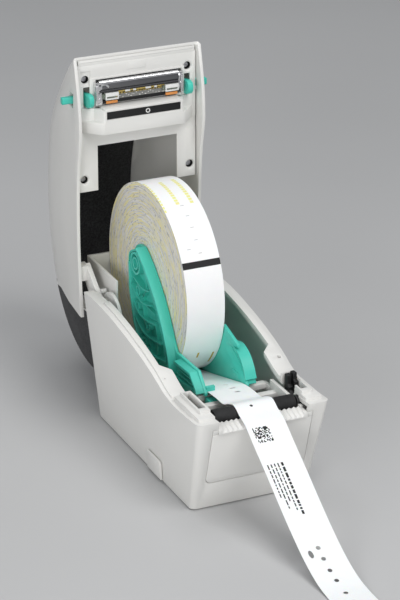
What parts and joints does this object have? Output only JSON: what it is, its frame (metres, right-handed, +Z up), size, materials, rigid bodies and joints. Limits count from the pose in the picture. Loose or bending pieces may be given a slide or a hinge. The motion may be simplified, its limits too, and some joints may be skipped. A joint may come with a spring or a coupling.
{
  "type": "thermal label printer",
  "caption": "Narrow clamshell desktop label printer, shown open with a centred media roll, geared platen drive, sprung print head and latches.",
  "frame": {"origin": "middle of the base's underside, at the level of the foot soles", "axes": "+Z up, -Y towards the label exit at the front, +X to the right seen from the front"},
  "size_m": [0.0992, 0.413, 0.2364],
  "materials": {
    "housing_plastic": "fine satin texture",
    "smoked_plastic": "smoked, satin gloss",
    "teal_plastic": "moulded, satin",
    "foot_rubber": "matte",
    "platen_rubber": "ground rubber",
    "black_plastic": "satin",
    "steel": "plated",
    "bright_steel": "bright zinc plate",
    "aluminium_bar": "milled",
    "head_ceramic_glaze": "glazed",
    "circuit_board": "solder mask",
    "brass": "turned",
    "gear_plastic": "natural acetal",
    "label_paper": "coated thermal paper",
    "core_board": "wound board",
    "lens_plastic": "light guide"
  },
  "bodies": {
    "base": {"base_shell": "housing_plastic", "front_panel": "housing_plastic", "exit_ramp": "housing_plastic", "bottom_plate": "housing_plastic", "foot_front_left": "foot_rubber", "foot_front_right": "foot_rubber", "foot_rear_left": "foot_rubber", "foot_rear_right": "foot_rubber", "media_deck": "housing_plastic", "media_tub": "housing_plastic", "latch_catch_left": "black_plastic", "latch_catch_right": "black_plastic", "side_clip_left": "housing_plastic", "side_clip_right": "housing_plastic", "hinge_pin_left": "steel", "hinge_pin_right": "steel", "platen_bushing_left": "brass", "platen_bushing_right": "brass", "main_board": "circuit_board", "power_inlet": "black_plastic", "usb_port": "steel", "serial_port": "steel", "drive_motor": "steel", "idler_stud": "steel", "sensor_rail": "steel", "holder_rail": "steel", "centring_stud": "steel", "label_strip": "label_paper"},
    "cover": {"cover_shell": "housing_plastic", "cover_window": "smoked_plastic", "inner_panel": "housing_plastic", "panel_screw_1": "steel", "panel_screw_2": "steel", "panel_screw_3": "steel", "panel_screw_4": "steel", "head_cover": "housing_plastic", "sensor_strip": "black_plastic", "head_spring": "steel", "status_light": "lens_plastic"},
    "button": {"feed_button": "smoked_plastic"},
    "latch": {"latch_bar": "steel", "latch_lever_left": "teal_plastic", "latch_lever_right": "teal_plastic"},
    "head": {"head_bracket": "bright_steel", "head_heat_sink": "aluminium_bar", "head_ceramic": "head_ceramic_glaze", "head_board": "circuit_board"},
    "platen": {"platen_roller": "platen_rubber", "platen_shaft": "steel", "platen_gear": "gear_plastic"},
    "idler": {"idler_gear": "gear_plastic"},
    "pinion": {"motor_pinion": "brass"},
    "roll": {"media_roll": "label_paper", "roll_core": "core_board"},
    "holder_left": {"roll_holder_left": "teal_plastic"},
    "holder_right": {"roll_holder_right": "teal_plastic"},
    "centring": {"centring_pinion": "gear_plastic"},
    "sensor": {"media_sensor": "teal_plastic"},
    "switch": {"power_switch": "black_plastic"}
  },
  "joints": [
    {"name": "cover_hinge", "type": "hinge", "parent": "base", "child": "cover", "pos_m": [0, 0.0747, 0.0701], "axis": [1, 0, 0], "range_deg": [0, 98.1]},
    {"name": "feed_press", "type": "slide", "parent": "cover", "child": "button", "axis": [0, -0.7314, -0.682], "range_m": [0, 0.0008], "stiffness_N_per_m": 400, "springref_m": -0.0004},
    {"name": "latch_pivot", "type": "hinge", "parent": "cover", "child": "latch", "pos_m": [0, 0.106, 0.207], "axis": [-1, 0, 0], "range_deg": [0, 9], "stiffness_Nm_per_rad": 0.15, "springref_deg": -2.86},
    {"name": "head_float", "type": "slide", "parent": "cover", "child": "head", "axis": [0, 1, 0], "range_m": [0, 0.001], "stiffness_N_per_m": 4000, "springref_m": -0.0008},
    {"name": "platen_spin", "type": "hinge", "parent": "base", "child": "platen", "pos_m": [0, -0.075, 0.0605], "axis": [1, 0, 0], "continuous": true},
    {"name": "idler_spin", "type": "hinge", "parent": "base", "child": "idler", "pos_m": [0, -0.07006, 0.04826], "axis": [1, 0, 0], "continuous": true},
    {"name": "pinion_spin", "type": "hinge", "parent": "base", "child": "pinion", "pos_m": [0, -0.06575, 0.03642], "axis": [1, 0, 0], "continuous": true},
    {"name": "roll_spin", "type": "hinge", "parent": "base", "child": "roll", "pos_m": [0, 0.0536, 0.0992], "axis": [1, 0, 0], "continuous": true},
    {"name": "holder_left_slide", "type": "slide", "parent": "base", "child": "holder_left", "axis": [-1, 0, 0], "range_m": [0, 0.01]},
    {"name": "holder_right_slide", "type": "slide", "parent": "base", "child": "holder_right", "axis": [1, 0, 0], "range_m": [0, 0.01]},
    {"name": "centring_spin", "type": "hinge", "parent": "base", "child": "centring", "pos_m": [0, 0.0185, 0.02], "axis": [0, 0, 1], "range_deg": [0, 95.5]},
    {"name": "sensor_slide", "type": "slide", "parent": "base", "child": "sensor", "axis": [1, 0, 0], "range_m": [-0.01, 0.016]},
    {"name": "switch_rock", "type": "hinge", "parent": "base", "child": "switch", "pos_m": [-0.024, 0.0724, 0.028], "axis": [1, 0, 0], "range_deg": [-9, 0]}
  ],
  "couplings": [
    {"joint": "idler_spin", "follows": "platen_spin", "ratio": -0.46667},
    {"joint": "pinion_spin", "follows": "platen_spin", "ratio": 1.1667},
    {"joint": "holder_right_slide", "follows": "holder_left_slide", "ratio": 1},
    {"joint": "centring_spin", "follows": "holder_left_slide", "rad_per_m": 166.67}
  ]
}
